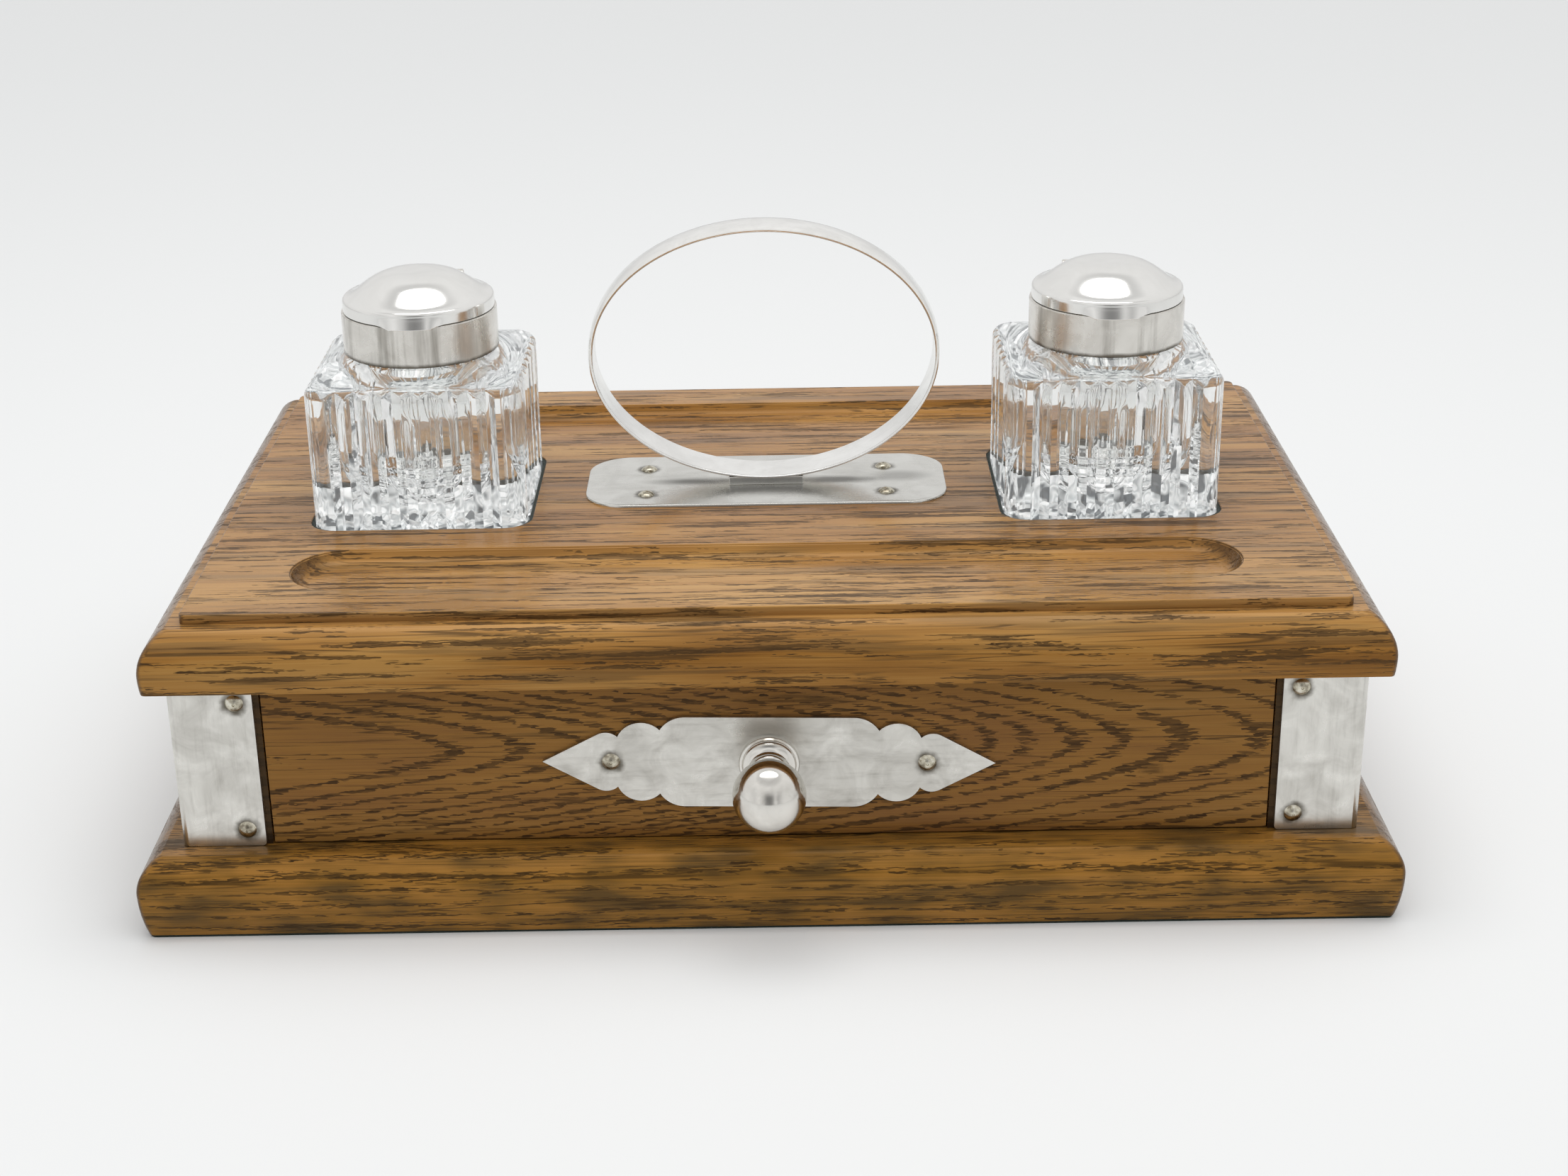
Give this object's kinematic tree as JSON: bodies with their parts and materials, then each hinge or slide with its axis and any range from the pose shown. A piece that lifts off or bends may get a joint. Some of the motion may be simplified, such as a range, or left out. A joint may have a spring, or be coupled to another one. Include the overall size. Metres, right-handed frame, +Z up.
{
  "type": "desk inkstand",
  "caption": "Oak desk inkstand with a drawer, pen grooves, an upright oval ring handle, silver mounts and lift-out square glass wells with hinged domed lids.",
  "frame": {"origin": "centre of the stand's underside", "axes": "+X to the stand's right as seen from the drawer, +Y to the back, +Z up"},
  "size_m": [0.3, 0.2074, 0.1473],
  "materials": {
    "oak": "waxed",
    "baize": "felted",
    "silver": "worn satin",
    "brass": "dull",
    "steel": "plain",
    "glass": "polished",
    "plaster": "matt"
  },
  "bodies": {
    "case": {"base_baize": "baize", "base_board": "oak", "base_screws": "steel", "end_panel_left": "oak", "end_panel_right": "oak", "back_panel": "oak", "top_dowels": "oak", "top_board": "oak", "corner_mount_front_left": "silver", "corner_mount_front_right": "silver", "corner_mount_back_left": "silver", "corner_mount_back_right": "silver", "corner_mount_pins": "brass", "socket_lining_left": "baize", "socket_lining_right": "baize", "ring_foot_plate": "silver", "ring_foot_pins": "brass", "handle_ring": "silver"},
    "drawer": {"drawer_front": "oak", "drawer_side_left": "oak", "drawer_side_right": "oak", "drawer_back": "oak", "drawer_bottom": "oak", "drawer_lining": "baize", "drawer_plate": "silver", "drawer_plate_pins": "brass", "drawer_knob": "silver", "knob_screw": "steel"},
    "well_left": {"glass_well_left": "glass", "collar_cement_left": "plaster", "collar_left": "silver", "hinge_pin_left": "brass"},
    "lid_left": {"lid_left": "silver"},
    "well_right": {"glass_well_right": "glass", "collar_cement_right": "plaster", "collar_right": "silver", "hinge_pin_right": "brass"},
    "lid_right": {"lid_right": "silver"}
  },
  "joints": [
    {"name": "drawer_slide", "type": "slide", "parent": "case", "child": "drawer", "axis": [0, -1, 0], "range_m": [0, 0.12]},
    {"name": "well_left_lift", "type": "slide", "parent": "case", "child": "well_left", "axis": [0, 0, 1], "range_m": [0, 0.05]},
    {"name": "lid_left_hinge", "type": "hinge", "parent": "well_left", "child": "lid_left", "pos_m": [-0.0872, 0.0204, 0.1299], "axis": [-1, 0, 0], "range_deg": [0, 105]},
    {"name": "well_right_lift", "type": "slide", "parent": "case", "child": "well_right", "axis": [0, 0, 1], "range_m": [0, 0.05]},
    {"name": "lid_right_hinge", "type": "hinge", "parent": "well_right", "child": "lid_right", "pos_m": [0.0872, 0.0204, 0.1299], "axis": [-1, 0, 0], "range_deg": [0, 105]}
  ]
}
